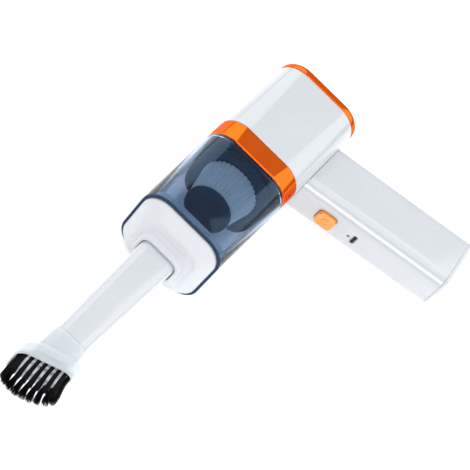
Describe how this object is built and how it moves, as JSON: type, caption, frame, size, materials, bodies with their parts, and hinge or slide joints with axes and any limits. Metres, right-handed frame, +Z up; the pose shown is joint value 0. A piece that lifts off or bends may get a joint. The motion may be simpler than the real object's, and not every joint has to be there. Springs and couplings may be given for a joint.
{
  "type": "handheld vacuum",
  "caption": "Cordless handheld vacuum: rounded square body, clear dust cup with a cone filter, leaning grip with power button, slim nozzle with a brush head.",
  "frame": {"origin": "centre of the bounding box's bottom face, on the floor that the vacuum lies on", "axes": "+X along the body towards the nozzle, +Y towards the handle's end, +Z up through the vacuum's left side"},
  "size_m": [0.3215, 0.1798, 0.066],
  "materials": {
    "white_body": "glossy white moulding",
    "white_cap": "glossy white moulding",
    "white_nozzle": "satin white moulding",
    "orange_trim": "plated translucent orange",
    "orange_button": "plated orange with an embossed pattern",
    "smoke_clear": "smoke blue transparent",
    "frosted_clear": "clear, slightly frosted",
    "black_plastic": "fine texture",
    "grey_plastic": "moulded",
    "black_rubber": "matt",
    "black_bristle": "nylon tufts",
    "pleated_paper": "pleated filter paper",
    "motor_steel": "plain",
    "screw_steel": "zinc plated",
    "socket_steel": "bright",
    "bronze_bush": "sintered",
    "green_board": "solder mask",
    "cell_wrap": "shrink wrap",
    "red_wire": "insulation",
    "black_wire": "insulation",
    "milky_lens": "light pipe"
  },
  "bodies": {
    "handle_unit": {"motor_housing": "white_body", "rear_cap": "orange_trim", "exhaust_grille": "black_plastic", "front_ring": "orange_trim", "motor_bulkhead": "black_plastic", "bulkhead_screw_1": "screw_steel", "bulkhead_screw_2": "screw_steel", "bulkhead_screw_3": "screw_steel", "bulkhead_screw_4": "screw_steel", "fan_shroud": "grey_plastic", "motor_can": "motor_steel", "motor_mount": "grey_plastic", "motor_bush": "bronze_bush", "motor_lead_red": "red_wire", "motor_lead_black": "black_wire", "handle_shell": "white_body", "handle_end_cap": "white_body", "battery_cell_front": "cell_wrap", "battery_cell_rear": "cell_wrap", "circuit_board": "green_board", "button_switch": "black_plastic", "led_lens": "milky_lens", "usb_socket": "socket_steel"},
    "button": {"power_button": "orange_button"},
    "fan": {"impeller": "grey_plastic", "motor_shaft": "motor_steel"},
    "filter": {"filter_base": "black_plastic", "filter_seal": "black_rubber", "filter_pleats": "pleated_paper", "filter_front_cap": "black_plastic"},
    "cup": {"dust_cup": "smoke_clear", "cup_seal": "black_rubber", "front_cap": "white_cap", "inlet_duct": "black_plastic"},
    "flap": {"inlet_flap": "black_rubber"},
    "nozzle": {"nozzle_tube": "white_nozzle"},
    "brush": {"brush_sleeve": "frosted_clear", "bristle_tufts": "black_bristle"}
  },
  "joints": [
    {"name": "button_press", "type": "slide", "parent": "handle_unit", "child": "button", "axis": [-0.981, -0.1942, 0], "range_m": [0, 0.0013], "stiffness_N_per_m": 900},
    {"name": "fan_spin", "type": "hinge", "parent": "handle_unit", "child": "fan", "pos_m": [-0.0819, -0.0569, 0.033], "axis": [1, 0, 0], "continuous": true},
    {"name": "cup_pull", "type": "slide", "parent": "handle_unit", "child": "cup", "axis": [1, 0, 0], "range_m": [0, 0.08]},
    {"name": "filter_pull", "type": "slide", "parent": "handle_unit", "child": "filter", "axis": [1, 0, 0], "range_m": [0, 0.015]},
    {"name": "flap_open", "type": "hinge", "parent": "cup", "child": "flap", "pos_m": [-0.0002, -0.0707, 0.033], "axis": [0, 0, 1], "range_deg": [0, 50], "stiffness_Nm_per_rad": 0.002},
    {"name": "nozzle_pull", "type": "slide", "parent": "cup", "child": "nozzle", "axis": [1, 0, 0], "range_m": [0, 0.04]},
    {"name": "brush_pull", "type": "slide", "parent": "nozzle", "child": "brush", "axis": [1, 0, 0], "range_m": [0, 0.045]}
  ]
}
